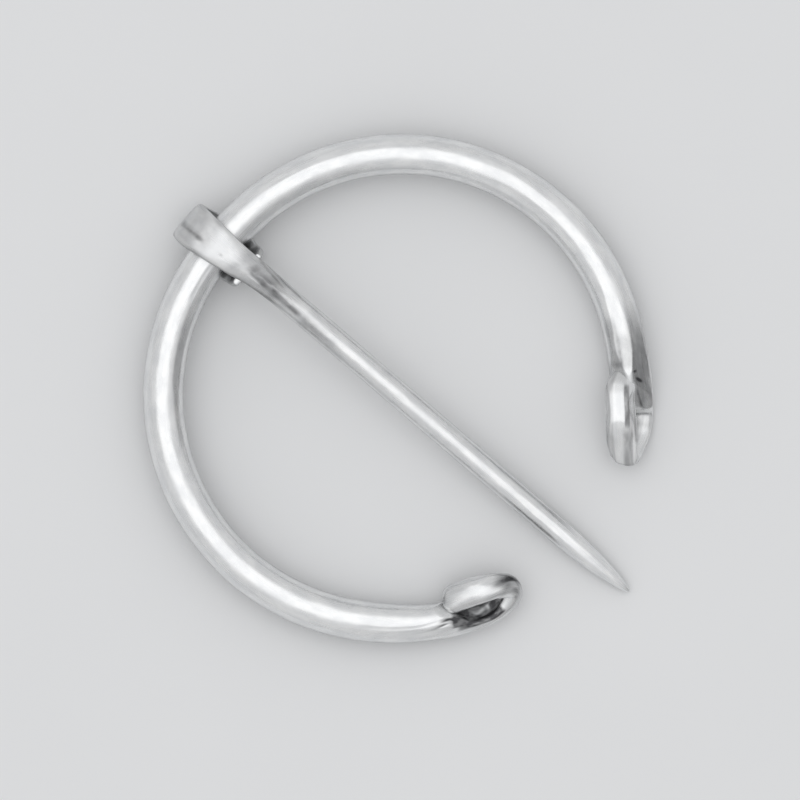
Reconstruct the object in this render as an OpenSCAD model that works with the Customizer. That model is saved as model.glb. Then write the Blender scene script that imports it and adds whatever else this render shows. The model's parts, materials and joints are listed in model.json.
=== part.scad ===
// Open ring brooch: a round wire hoop whose hammered ends are rolled back on themselves, and a
// straight pin whose flattened head is wrapped round the hoop.
// X runs along the pin to its point and Z comes up out of the front. The brooch lies on its back on
// Z = 0, with the origin under the middle of its outer box.

/* [Hoop] */
// Thickness of the round wire
wire_d = 3.25; // [3.0:0.05:3.4]
// Bend radius of the hoop, to the middle of the wire
hoop_r = 18.1; // [17:0.1:19]
// Bend radius of the flatter stretch under the pin's head
head_bend_r = 28.5; // [26:0.5:31]

/* [Pin] */
// Thickness of the round shank
pin_d = 2.05; // [1.8:0.05:2.2]
// Length over all
pin_length = 46.5; // [43:0.1:48]
// Length of the pointed end
point_length = 8.0; // [6:0.5:10]
// Thickness of the flattened head
head_t = 0.8; // [0.7:0.05:0.9]
// Play between the head and the wire that it turns on
head_play = 0.18; // [0.15:0.01:0.3]

/* [Hidden] */
silver = [0.78, 0.79, 0.80];
wire_r = wire_d / 2;
facets = 24;

// The two halves of the hoop, one row each, from the head round to the rolled end: sweep of the head
// bend, radius and sweep of the hoop bend, radius and sweep of the opened end, tables of the rolled
// end. Sweeps are in degrees.
UPPER = [5.8, hoop_r, 120, 24, 1.9, "upper"];
LOWER = [2.3, hoop_r * 1.007, 117.6, 21, 11.3, "lower"];

function head_sweep(half) = half[0];
function bend_r(half) = half[1];
function bend_sweep(half) = half[2];
function end_r(half) = half[3];
function end_sweep(half) = half[4];
function is_upper(half) = half[5] == "upper";

// Each stretch of the wire starts a little inside the one before it, a hair thinner, so that their
// surfaces never run along each other
sink = 0.3;
hair = 0.01;

// The row of a table at a key between its rows: a smooth curve through the rows, by the slope that
// each row has between its neighbours. The first column is the key.
function row_before(table, key) =
    max([for (i = [0 : len(table) - 2]) (table[i][0] <= key || i == 0) ? i : 0]);
function smooth_row(table, key) =
    let (i = row_before(table, key), a = table[i], b = table[i + 1])
    let (before = table[max(i - 1, 0)], after = table[min(i + 2, len(table) - 1)])
    let (run = b[0] - a[0], t = (key - a[0]) / run)
    let (slope_a = (b - before) * run / (b[0] - before[0]))
    let (slope_b = (after - a) * run / (after[0] - a[0]))
    a * (2 * t ^ 3 - 3 * t ^ 2 + 1) + slope_a * (t ^ 3 - 2 * t ^ 2 + t)
    + b * (3 * t ^ 2 - 2 * t ^ 3) + slope_b * (t ^ 3 - t ^ 2);

// Point k on a section that goes from a circle (squareness 2) to a bar with rounded corners
function rounded(value, squareness) = sign(value) * abs(value) ^ (2 / squareness);
function section_point(k, thick, wide, squareness) =
    let (turn = 360 * k / facets)
    [wide / 2 * rounded(cos(turn), squareness), thick / 2 * rounded(sin(turn), squareness)];

// Closed skin over a list of rings that each hold as many points as there are facets
module skin(rings) {
    last = len(rings) - 1;
    sides = [
        for (i = [0 : last - 1], k = [0 : facets - 1])
        let (next = (k + 1) % facets, row = i * facets)
        for (side = [0, 1])
        side == 0
            ? [row + k, row + next, row + facets + next]
            : [row + k, row + facets + next, row + facets + k]
    ];
    start_cap = [for (k = [facets - 1 : -1 : 0]) k];
    end_cap = [for (k = [0 : facets - 1]) last * facets + k];
    polyhedron(points = [for (ring = rings) each ring], faces = concat([start_cap, end_cap], sides));
}

// Rolled ends, forged from wire of this thickness. Each row has the length along the strap, then s along
// the hoop from the end of its last bend, the distance inward from the hoop's outer line and the height
// of the strap's middle, then its thickness, width, squareness and lean over to the hoop's middle in
// degrees. The strap thins out, turns up and comes back over the wire, where it ends.
forged_d = 3.25;
UPPER_ROLL = [
    [0, 0, 1.625, 1.625, 3.25, 3.25, 2.0, 0],
    [1.5, 1.5, 1.625, 1.625, 3.25, 3.25, 2.0, 0],
    [2.6, 2.6, 1.62, 1.60, 3.19, 3.24, 2.05, 0],
    [3.6, 3.6, 1.56, 1.49, 2.96, 3.18, 2.15, -2],
    [4.4, 4.4, 1.44, 1.30, 2.58, 3.02, 2.4, -3],
    [5.1, 5.1, 1.28, 1.03, 2.04, 2.80, 2.8, -3],
    [5.7, 5.7, 1.16, 0.72, 1.40, 2.64, 3.2, -1],
    [6.2, 6.2, 1.09, 0.50, 0.94, 2.52, 3.4, 3],
    [7.0, 7.0, 1.04, 0.54, 0.88, 2.42, 3.5, 7],
    [7.8, 7.79, 1.05, 0.72, 0.90, 2.34, 3.4, 9],
    [8.6, 8.53, 1.14, 1.02, 0.92, 2.24, 3.1, 10],
    [9.4, 9.17, 1.30, 1.44, 0.94, 2.10, 2.8, 10],
    [10.1, 9.64, 1.50, 1.92, 0.96, 2.0, 2.6, 8],
    [10.7, 9.58, 1.70, 2.34, 0.98, 2.06, 2.5, 6],
    [11.5, 9.02, 1.94, 2.62, 1.02, 2.26, 2.5, 4],
    [12.4, 8.22, 2.16, 2.83, 1.06, 2.44, 2.5, 2],
    [13.5, 7.16, 2.33, 2.98, 1.1, 2.50, 2.5, 0],
    [14.6, 6.06, 2.46, 3.03, 1.14, 2.45, 2.5, -2],
    [15.7, 4.97, 2.54, 2.95, 1.10, 2.40, 2.5, -3],
    [16.8, 3.89, 2.46, 2.73, 1.0, 2.36, 2.4, -3],
    [18.15, 2.57, 2.14, 2.40, 0.8, 2.0, 2.3, -3]
];
LOWER_ROLL = [
    [-3, -3, 1.625, 1.625, 3.25, 3.25, 2.0, 0],
    [0, 0, 1.59, 1.61, 3.15, 3.14, 2.0, 2],
    [1.5, 1.5, 1.55, 1.60, 3.10, 3.0, 2.0, 6],
    [2.6, 2.6, 1.52, 1.59, 3.04, 2.92, 2.05, 14],
    [3.6, 3.6, 1.50, 1.53, 2.86, 2.88, 2.2, 26],
    [4.4, 4.4, 1.40, 1.40, 2.3, 2.78, 2.5, 40],
    [5.1, 5.1, 1.24, 1.26, 1.6, 2.62, 2.8, 49],
    [5.9, 5.9, 1.12, 1.17, 1.12, 2.5, 3.0, 54],
    [6.8, 6.8, 1.12, 1.15, 1.02, 2.42, 3.0, 55],
    [7.5, 7.5, 1.22, 1.19, 1.14, 2.36, 2.9, 55],
    [8.4, 8.28, 1.46, 1.36, 1.42, 2.24, 2.6, 54],
    [9.3, 8.97, 1.88, 1.66, 1.72, 2.14, 2.4, 51],
    [10.0, 9.18, 2.28, 1.96, 1.82, 2.1, 2.3, 47],
    [10.7, 8.96, 2.68, 2.30, 1.78, 2.14, 2.3, 40],
    [11.7, 8.26, 3.01, 2.63, 1.64, 2.24, 2.3, 28],
    [12.6, 7.40, 3.16, 2.81, 1.52, 2.28, 2.3, 17],
    [13.8, 6.2, 3.27, 2.80, 1.42, 2.32, 2.3, 10],
    [15.0, 5.0, 3.14, 2.58, 1.32, 2.36, 2.3, 12],
    [16.5, 3.60, 2.86, 2.14, 1.1, 2.3, 2.3, 14]
];
UPPER_TIP = 1.5;
LOWER_TIP = 1.0;

// Flats hammered across the wire and the back of the strap: the turn that each faces (0 is towards the
// hoop's middle, 90 up), then rows of a length along the strap and how deep under the round wire's
// surface the flat lies there
UPPER_FLATS = [
    [129, [[0, 0], [1.2, 0.15], [2.4, 0.3], [3.4, 0.58], [4.4, 0.98], [5.2, 1.24], [6.2, 1.34]]],
    [58, [[0.7, 0], [1.7, 0.14], [3.2, 0.76], [4.0, 1.02], [5.0, 1.36], [6.4, 1.8]]]
];
LOWER_FLATS = [
    [132, [[-1.5, 0], [0.8, 0.15], [3.3, 0.2], [6.3, 0.5]]],
    [48, [[1.3, 0], [2.3, 0.12], [3.7, 0.8], [4.7, 0.96]]]
];
flats_fade = [6.5, 8.5];

function roll(half) = is_upper(half) ? UPPER_ROLL : LOWER_ROLL;
function tip_round(half) = is_upper(half) ? UPPER_TIP : LOWER_TIP;
function flats(half) = is_upper(half) ? UPPER_FLATS : LOWER_FLATS;
function roll_start(half) = roll(half)[0][0];
function roll_end(half) = roll(half)[len(roll(half)) - 1][0];

roll_step = 0.4;
tip_steps = 6;
root_share = 1 - 8 * hair / forged_d;

function clamp(value, low, high) = min(max(value, low), high);
function ease(value, from, to) = let (t = clamp((value - from) / (to - from), 0, 1)) t * t * (3 - 2 * t);

// Share of the section left at a place: all of it up to the tip's rounded stretch
function section_left(half, key) =
    let (into = max(1 - (roll_end(half) - key) / tip_round(half), 0)) sqrt(max(1 - into ^ 2, 0.002));

// Row at a place; before the first row and after the last the strap goes straight on
function roll_row(half, key) =
    let (inside = clamp(key, roll_start(half), roll_end(half)), row = smooth_row(roll(half), inside))
    let (beyond = key - inside)
    [row[0], row[1] + (beyond < 0 ? beyond : 0), row[2], row[3], row[4], row[5], row[6], row[7]];
function roll_middle(half, key) = let (row = roll_row(half, key)) [row[1], row[2], row[3]];
function unit(v) = v / norm(v);

// A point moved back onto the flats that it lies outside of, in s, inward and height
function on_flats(p, half, key, left) =
    left == 0 ? p
    : let (before = on_flats(p, half, key, left - 1), flat = flats(half)[left - 1], rows = flat[1])
      let (depth = smooth_row(rows, clamp(key, rows[0][0], rows[len(rows) - 1][0]))[1])
      let (normal = [0, cos(flat[0]), sin(flat[0])], middle = [0, forged_d / 2, forged_d / 2])
      let (over = max((before - middle) * normal - (forged_d / 2 - depth), 0))
      before - over * (1 - ease(key, flats_fade[0], flats_fade[1])) * normal;

// A ring of points round one place, square to the strap and bent along the hoop's opened end
function roll_ring(half, key) =
    let (row = roll_row(half, key), middle = [row[1], row[2], row[3]], lean = row[7], step = 0.02)
    let (ahead = unit(roll_middle(half, key + step) - roll_middle(half, key - step)))
    let (flat_way = [0, cos(lean), -sin(lean)], sideways = unit(flat_way - (flat_way * ahead) * ahead))
    let (inside = cross(ahead, sideways), left = section_left(half, key), r = end_r(half))
    let (scale = wire_d / forged_d, wide = min(row[5], forged_d * root_share) * left)
    let (thick = min(row[4], forged_d * root_share) * left)
    [
        for (k = [facets - 1 : -1 : 0])
        let (q = section_point(k, thick, wide, row[6]))
        let (p = on_flats(middle + q[0] * sideways + q[1] * inside, half, key, 2) * scale)
        let (radius = r + wire_r - p[1], turn = p[0] / r * 180 / PI)
        [radius * cos(turn), radius * sin(turn), p[2]]
    ];

function roll_keys(half) =
    let (from = roll_start(half) - sink, to = roll_end(half) - tip_round(half))
    let (steps = ceil((to - from) / roll_step))
    concat(
        [for (i = [0 : steps - 1]) from + (to - from) * i / steps],
        [for (i = [0 : tip_steps]) to + tip_round(half) * sin(90 * i / tip_steps)]
    );
function roll_rings(half) = [for (key = roll_keys(half)) roll_ring(half, key)];

// A stretch of round wire bent about a centre, from one angle on through a sweep, thinner by some hairs
module bend(centre, r, from, sweep, hairs) {
    translate([centre[0], centre[1], wire_r])
        rotate(from)
            rotate_extrude(angle = sweep, $fn = 240)
                translate([r, 0])
                    circle(r = wire_r - hairs * hair, $fn = 48);
}

function along(angle) = [cos(angle), sin(angle)];
function hoop_centre(half) = [head_bend_r, 0] + (head_bend_r - bend_r(half)) * along(180 + head_sweep(half));
function end_angle(half) = 180 + head_sweep(half) + bend_sweep(half);
function end_centre(half) = hoop_centre(half) + (bend_r(half) - end_r(half)) * along(end_angle(half));

// Half of the hoop beyond the head bend, curving down towards -Y and on to its rolled end
module hoop_half(half) {
    hoop_start = sink / bend_r(half) * 180 / PI;
    end_start = sink / end_r(half) * 180 / PI;
    bend(
        hoop_centre(half), bend_r(half), 180 + head_sweep(half) - hoop_start,
        bend_sweep(half) + hoop_start, 1
    );
    bend(
        end_centre(half), end_r(half), end_angle(half) - end_start,
        end_sweep(half) + end_start + roll_start(half) * wire_d / forged_d / end_r(half) * 180 / PI, 2
    );
    translate(end_centre(half))
        rotate(end_angle(half) + end_sweep(half))
            skin(roll_rings(half));
}

// Hoop lying flat, with the middle of the wire under the pin's head over the origin
module flat_hoop() {
    bend(
        [head_bend_r, 0], head_bend_r, 180 - head_sweep(UPPER),
        head_sweep(UPPER) + head_sweep(LOWER), 0
    );
    hoop_half(LOWER);
    mirror([0, 1, 0]) hoop_half(UPPER);
}

// Pin, drawn straight along X with the middle of the wire that it turns on at the origin. The strap's
// middle goes over the wire, round its outer side, back under it and up to the shank.
eye_h = wire_r + head_play + head_t / 2;
eye_outer = 3.1;
eye_inner = 2.86;
eye_top_x = 0.1;
eye_foot_x = 0.7;
eye_foot_z = 0.1;
shank_z = eye_h - 0.1;
neck_x = 8.2;
neck_sink = 0.4;
eye_end_gap = 0.08;
pin_reach = pin_length - eye_outer - head_t / 2;

// Stages along the head: 0 in the shank, 1 over the wire, 2 round the outer side and under the wire,
// 3 where the end starts to rise, 4 at the end. The rest of a row: side of the middle, thickness,
// width and squareness.
HEAD = [
    [0, 0, pin_d - 0.04, pin_d - 0.04, 2],
    [0.12, 0, pin_d * 0.98, pin_d, 2],
    [0.4, -0.02, pin_d * 0.78, pin_d * 1.02, 2.1],
    [0.62, -0.09, head_t * 1.35, pin_d * 1.12, 2.6],
    [0.8, -0.26, head_t * 1.05, pin_d * 1.28, 3.6],
    [1, -0.36, head_t, pin_d * 1.46, 5],
    [1.3, -0.42, head_t, pin_d * 1.7, 5.5],
    [1.55, -0.38, head_t, pin_d * 1.64, 5.5],
    [2, -0.22, head_t, pin_d * 1.98, 5],
    [3, -0.15, head_t, pin_d * 1.95, 4.5],
    [3.45, -0.16, head_t, pin_d * 1.88, 4],
    [3.8, -0.22, head_t, pin_d * 1.66, 3.6],
    [4, -0.26, head_t * 0.92, pin_d * 1.5, 3]
];

function turned(angle, ahead, up) = [ahead * cos(angle), up * sin(angle)];
// Middle of the strap at a stage, as x and z, and a little further on for its heading
function head_middle(stage) =
    stage < 1
        ? [
            neck_x + neck_sink + (eye_top_x - neck_x - neck_sink) * stage,
            shank_z + (eye_h - shank_z) * smooth_row([[-1, 0], [0, 0], [1, 1], [2, 1]], stage)[1]
        ]
    : stage < 2
        ? [eye_top_x, 0] + turned(90 + 180 * (stage - 1), eye_outer + eye_top_x, eye_h)
    : stage < 3
        ? [eye_top_x + (eye_foot_x - eye_top_x) * (stage - 2), -eye_h]
        : eye_rise(stage - 3);

// From the foot the strap's end turns up through a quarter and goes on to the underside of the neck
rise_top_z = eye_h - head_t * 0.7 - eye_end_gap;
function eye_rise(share) =
    share < 0.6
        ? [eye_foot_x, -eye_foot_z] + turned(-90 + 150 * share, eye_inner - eye_foot_x, eye_h - eye_foot_z)
        : [eye_inner, -eye_foot_z + (rise_top_z + eye_foot_z) * (share - 0.6) / 0.4];

function head_heading(stage) =
    let (step = 0.002, from = head_middle(max(stage - step, 0)), to = head_middle(min(stage + step, 4)))
    atan2(to[1] - from[1], to[0] - from[0]);

function head_ring(stage) =
    let (mid = head_middle(stage), heading = head_heading(stage), row = smooth_row(HEAD, stage))
    [
        for (k = [facets - 1 : -1 : 0])
        let (p = section_point(k, row[2], row[3], row[4]))
        [mid[0] - p[1] * sin(heading), row[1] + p[0], mid[1] + p[1] * cos(heading)]
    ];

neck_steps = 18;
wrap_steps = 20;
foot_steps = 2;
rise_steps = 14;
function stages(from, to, steps) = [for (i = [0 : steps - 1]) from + (to - from) * i / steps];

head_stages = concat(
    stages(0, 1, neck_steps), stages(1, 2, wrap_steps), stages(2, 3, foot_steps),
    stages(3, 4, rise_steps), [4]
);
head_rings = [for (stage = head_stages) head_ring(stage)];

// Shank, then the point, whose half-thickness falls as a rounded power of the distance along it
point_steps = 14;
shoulder = 0.97;
point_x = pin_reach - point_length;
taper_x = point_x - 5;
tip_r = 0.04;
function point_r(share) = pin_d / 2 * shoulder * (1 - share ^ 2) ^ 0.65 + tip_r * share;

module shank() {
    translate([neck_x, 0, shank_z])
        rotate([0, 90, 0])
            cylinder(r = pin_d / 2, h = taper_x - neck_x, $fn = 64);
    translate([taper_x, 0, shank_z])
        rotate([0, 90, 0])
            rotate_extrude($fn = 64)
                polygon(concat(
                    [[0, 0], [pin_d / 2, 0]],
                    [
                        for (i = [0 : point_steps])
                        let (share = sin(90 * i / point_steps))
                        [point_r(share), point_x - taper_x + point_length * share]
                    ],
                    [[0, point_length + point_x - taper_x]]
                ));
}

module straight_pin() {
    skin(head_rings);
    shank();
}

// Lying at rest: the strap under the wire lifts the hoop at the head, the hoop slopes down from there
// to its rolled ends, and the pin slopes down through the gap until its point meets the surface. Places
// here are x and z from the middle of the wire under the head, about which both slope.
rest_gap = 0.02;

// Slope at which the first of some places comes down by a height
function touch_slope(places, height) =
    min([for (p = places) asin(height / norm(p)) + atan2(p[1], p[0])]);
// How far the lowest of some places lies below the wire's middle at a slope
function reach_below(places, slope) = max([for (p = places) p[0] * sin(slope) - p[1] * cos(slope)]);

point_places = [
    for (i = [0 : point_steps])
    let (share = i / point_steps)
    [point_x + point_length * share, shank_z - point_r(share)]
];
head_places = [for (ring = head_rings) each [for (p = ring) [p[0], p[2]]]];
roll_places = [
    for (half = [UPPER, LOWER])
    let (from = end_centre(half), turn = end_angle(half) + end_sweep(half))
    for (ring = roll_rings(half)) each
    [for (p = ring) [from[0] + p[0] * cos(turn) - p[1] * sin(turn), p[2] - wire_r]]
];

flat_slope = touch_slope(point_places, eye_h + head_t / 2);
lift = reach_below(head_places, flat_slope);
pin_slope = touch_slope(point_places, lift);
hoop_slope = touch_slope(roll_places, lift);
hinge_z = lift + rest_gap;

pin_front = pin_reach * cos(pin_slope) + shank_z * sin(pin_slope);
hinge_x = (eye_outer + head_t / 2 - pin_front) / 2;
hinge_y = (hoop_centre(UPPER)[1] - hoop_centre(LOWER)[1]) / 2;

module hoop() {
    color(silver)
        translate([hinge_x, hinge_y, hinge_z])
            rotate([0, hoop_slope, 0])
                translate([0, 0, -wire_r])
                    flat_hoop();
}

module pin() {
    color(silver * 0.95)
        translate([hinge_x, hinge_y, hinge_z])
            rotate([0, pin_slope, 0])
                straight_pin();
}

hoop();
pin();
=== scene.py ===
"""A silver open ring brooch lying on a pale floor, seen from straight above.

The hoop and the pin are skins worked out with numpy, each a section carried along a path. Both follow
the same path and sections as the frame's solids, with the hammer's flats, the crevices and the dents of
the real piece on top. Shapes are in millimetres until a mesh is made, which is in metres.
"""

import json
import math

import bpy
import numpy as np
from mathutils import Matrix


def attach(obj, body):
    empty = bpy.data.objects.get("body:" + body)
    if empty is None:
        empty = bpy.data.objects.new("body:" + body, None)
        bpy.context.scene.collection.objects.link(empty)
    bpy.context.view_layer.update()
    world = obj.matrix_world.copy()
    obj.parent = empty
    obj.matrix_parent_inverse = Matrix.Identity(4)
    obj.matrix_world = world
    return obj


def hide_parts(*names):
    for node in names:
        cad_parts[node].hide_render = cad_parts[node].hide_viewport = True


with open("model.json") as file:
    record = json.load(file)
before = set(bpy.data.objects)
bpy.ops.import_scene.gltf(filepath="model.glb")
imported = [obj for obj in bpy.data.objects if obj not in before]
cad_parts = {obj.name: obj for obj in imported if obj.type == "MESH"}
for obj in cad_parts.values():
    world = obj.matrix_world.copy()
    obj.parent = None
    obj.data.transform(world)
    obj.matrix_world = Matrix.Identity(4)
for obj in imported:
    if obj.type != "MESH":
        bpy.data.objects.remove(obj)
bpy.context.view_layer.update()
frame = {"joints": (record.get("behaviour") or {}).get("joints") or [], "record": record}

MM = 0.001
AROUND = 96  # points round a section

# Sizes of the hoop, in millimetres and degrees

WIRE_R = 1.625
HEAD_BEND_R = 28.5
HOOP_R = 18.1
HOOP_SLOPE = 1.777  # how far the hoop slopes down from the head to its ends
HINGE = np.array(frame["joints"][0]["pos_m"]) / MM

# Each half of the hoop from the head round to its rolled end. Bends are (radius, sweep). The swell is how
# much thicker the outside of the strap is where it turns back. The end's rows are the length along it, then
# s past the round wire, distance inward from the hoop's outer line and height of its middle, then the
# section's thickness, width, squareness and lean.
UPPER = dict(
    side=1, head_sweep=5.8, hoop=(HOOP_R, 120.0), end=(24.0, 1.9), tip_round=1.5, swell=0.55,
    rows=[
        [0, 0, 1.625, 1.625, 3.25, 3.25, 2.0, 0],
        [1.5, 1.5, 1.625, 1.625, 3.25, 3.25, 2.0, 0],
        [2.6, 2.6, 1.58, 1.60, 3.19, 3.31, 2.05, 0],
        [3.6, 3.6, 1.50, 1.49, 2.96, 3.29, 2.15, -2],
        [4.4, 4.4, 1.37, 1.30, 2.58, 3.15, 2.4, -3],
        [5.1, 5.1, 1.21, 1.03, 2.04, 2.93, 2.8, -3],
        [5.7, 5.7, 1.09, 0.72, 1.40, 2.77, 3.2, -1],
        [6.2, 6.2, 1.02, 0.50, 0.94, 2.65, 3.4, 3],
        [7.0, 7.0, 0.98, 0.54, 0.88, 2.53, 3.5, 7],
        [7.8, 7.79, 1.01, 0.72, 0.90, 2.41, 3.4, 9],
        [8.6, 8.53, 1.14, 1.02, 0.92, 2.24, 3.1, 10],
        [9.4, 9.13, 1.28, 1.42, 0.94, 2.18, 2.7, 10],
        [10.1, 9.58, 1.48, 1.90, 0.96, 2.14, 2.4, 8],
        [10.7, 9.54, 1.70, 2.34, 0.98, 2.20, 2.3, 6],
        [11.5, 9.07, 1.94, 2.63, 1.02, 2.28, 2.4, 4],
        [12.4, 8.22, 2.16, 2.83, 1.06, 2.44, 2.5, 2],
        [13.5, 7.16, 2.33, 2.98, 1.1, 2.50, 2.5, 0],
        [14.6, 6.06, 2.46, 3.03, 1.14, 2.45, 2.5, -2],
        [15.7, 4.97, 2.54, 2.95, 1.10, 2.40, 2.5, -3],
        [16.8, 3.89, 2.46, 2.73, 1.0, 2.36, 2.4, -3],
        [18.15, 2.57, 2.14, 2.40, 0.8, 2.0, 2.3, -3],
    ],
)
LOWER = dict(
    side=-1, head_sweep=2.3, hoop=(HOOP_R * 1.007, 117.6), end=(21.0, 11.3), tip_round=1.0, swell=0,
    rows=[
        [-3, -3, 1.625, 1.625, 3.25, 3.25, 2.0, 0],
        [0, 0, 1.59, 1.61, 3.15, 3.14, 2.0, 2],
        [1.5, 1.5, 1.55, 1.60, 3.10, 3.0, 2.0, 6],
        [2.6, 2.6, 1.52, 1.59, 3.04, 2.92, 2.05, 14],
        [3.6, 3.6, 1.50, 1.53, 2.86, 2.88, 2.2, 26],
        [4.4, 4.4, 1.40, 1.40, 2.3, 2.78, 2.5, 40],
        [5.1, 5.1, 1.24, 1.26, 1.6, 2.62, 2.8, 49],
        [5.9, 5.9, 1.12, 1.17, 1.12, 2.5, 3.0, 54],
        [6.8, 6.8, 1.12, 1.15, 1.02, 2.42, 3.0, 55],
        [7.5, 7.5, 1.22, 1.19, 1.14, 2.36, 2.9, 55],
        [8.4, 8.33, 1.46, 1.36, 1.42, 2.24, 2.6, 54],
        [9.3, 9.14, 1.88, 1.66, 1.72, 2.14, 2.4, 51],
        [10.0, 9.40, 2.28, 1.96, 1.82, 2.1, 2.3, 47],
        [10.7, 9.18, 2.68, 2.30, 1.78, 2.14, 2.3, 40],
        [11.7, 8.36, 3.01, 2.62, 1.64, 2.24, 2.2, 28],
        [12.6, 7.42, 3.16, 2.85, 1.54, 2.28, 2.1, 17],
        [13.2, 6.8, 3.22, 2.90, 1.5, 2.30, 2.05, 13],
        [13.8, 6.2, 3.25, 2.85, 1.46, 2.32, 2.05, 11],
        [15.0, 5.0, 3.14, 2.55, 1.36, 2.36, 2.1, 12],
        [16.5, 3.60, 2.86, 2.09, 1.1, 2.3, 2.2, 14],
    ],
)
SWELL_AT, SWELL_WIDTH = 10.35, 0.75  # along the rolled end

# Lengths between the sections of the wire and of the rolled end, and sections in the tip's round
WIRE_STEP = 0.2
END_STEP = 0.075
TIP_STEPS = 28
TIP_LEAST = 0.0004  # square of the share of its size that the last section keeps

# Unevenness that the hammer left: the pitches of its waves along the metal, how many go round it and about
# how high their sum is, then the share of a section's size on the wire and on the strap, and the lengths
# along the rolled end between which one becomes the other
PITCHES = (9.0, 5.5, 3.4, 2.1, 1.4)
ROUNDS = (1, 2, 3)
USUAL_SUM = 6
HOOP_SEED = 3
WIRE_UNEVEN, STRAP_UNEVEN = 0.0035, 0.0175
STRAP_FROM = (2, 6)

# Flats filed or hammered across the wire and the back of the strap: half, the lengths along it over which
# each grows, the turn that it faces (0 is towards the hoop's middle, 90 up) and how far below the round
# wire's surface it lies at each of those lengths. All end where the strap turns back, between two stages.
FACES = [
    (UPPER, (36.0, 42.5, 44.0, 45.0, 46.0, 46.8, 47.8), 129, (0, 0.17, 0.3, 0.44, 0.56, 0.6, 0.6)),
    (UPPER, (43.6, 45.0, 46.0, 46.8, 47.8), 112, (0, 0.3, 0.8, 1.14, 1.3)),
    (UPPER, (36.0, 40.0, 42.2, 43.6, 45.0, 47.0), 80, (0, 0.09, 0.15, 0.12, 0.12, 0.2)),
    (UPPER, (42.6, 43.7, 44.8, 45.6, 46.6, 48.0), 48, (0, 0.12, 0.42, 0.7, 1.1, 1.5)),
    (LOWER, (39.5, 43.5, 46.0, 49.0), 132, (0, 0.16, 0.2, 0.5)),
    (LOWER, (43.4, 45.0, 46.6, 48.0), 48, (0, 0.1, 0.66, 0.9)),
]
FACES_END = (6.5, 8.5)

# Flats and chamfers on the section itself: half, start and end along it, how far they fade in and out,
# the turn that they face on the section and their depth
FLATS = [
    (UPPER, 54.6, 56.6, 2.4, 1.4, 232, 0.15),
    (UPPER, 53.0, 54.6, 1.2, 2.0, 246, 0.12),
    (UPPER, 53.0, 57.0, 3.5, 1.5, 318, 0.08),
    (LOWER, 54.0, 56.0, 3.5, 2.0, 322, 0.06),
    (LOWER, 7, 12, 3.5, 1.5, 52, 0.04),
    (UPPER, 26, 31, 4.0, 4.0, 62, 0.03),
    (UPPER, 8, 14, 5.0, 5.0, 118, 0.02),
    (LOWER, 22, 28, 5.0, 5.0, 57, 0.02),
    (LOWER, 30, 35, 4.0, 4.0, 122, 0.016),
]

# The flat on the front of the upper roll, which slopes down from the bend: where it starts along the rolled
# end, its height there, its tilt, how softly it meets the round and the stage over which it sets in
BROW_AT, BROW_HEIGHT, BROW_TILT, BROW_SOFT = 6.95, 3.5, 19, 0.1
BROW_FROM = (9.0, 9.8)

# Small crevices that forging left, with tarnish and painted shade in them, and painted dark reflections on
# the lower roll: half, place along, turn, length, width in degrees, how many degrees it slants in a
# millimetre, depth and darkening, which is below zero where it clears the painted shade to let a bright
# reflection show
CREVICES = [
    (UPPER, 44.35, 103, 0.06, 5.0, 0, 0.06, 1.2),
    (UPPER, 45.0, 115, 0.14, 4.4, 42, 0.1, 1.2),
    (LOWER, 46.2, 111, 0.32, 3.4, 0, 0.08, 1.25),
    (LOWER, 46.75, 119, 0.26, 3.2, 20, 0.08, 1.25),
    (LOWER, 45.9, 123, 0.3, 2.2, 0, 0.05, 1.1),
    (LOWER, 46.9, 140, 0.24, 6.0, 30, 0.05, 1.2),
    (LOWER, 45.2, 126, 0.6, 1.8, 0, 0.04, 0.5),
    (LOWER, 53.4, 266, 0.62, 11.5, 0, 0, 1.15),
    (LOWER, 53.6, 232, 0.35, 12.0, 0, 0.015, 0.5),
    (LOWER, 52.9, 206, 0.25, 9.0, 0, 0.01, 0.45),
    (LOWER, 54.3, 250, 0.42, 13.0, 0, 0.01, 0.42),
    (LOWER, 52.6, 184, 0.12, 4.0, 0, 0.02, 0.6),
    (LOWER, 50.0, 88, 0.14, 8.5, 0, 0, -1.0),
    (LOWER, 49.3, 91, 0.36, 3.4, -10, 0, -0.95),
    (LOWER, 48.6, 91, 0.3, 2.2, 14, 0, -0.45),
    (LOWER, 47.6, 113, 0.5, 5.0, 10, 0, -1.1),
]

# Fine lines that drawing the wire left along it: half, start, end, fade, turn, width in degrees, depth
LINES = [
    (UPPER, 5, 20, 5.0, 33, 2.6, 0.028),
    (UPPER, 2.5, 9, 2.0, 45, 2.0, 0.02),
    (UPPER, 22, 34, 6.0, 40, 3.0, 0.016),
    (LOWER, 2.4, 4.5, 1.0, 72, 2.2, 0.03),
    (LOWER, 2.4, 4.0, 1.0, 88, 2.0, 0.02),
    (LOWER, 41.0, 46.6, 2.5, 106, 1.8, 0.035),
    (LOWER, 14, 33, 6.0, 48, 3.0, 0.012),
]
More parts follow.
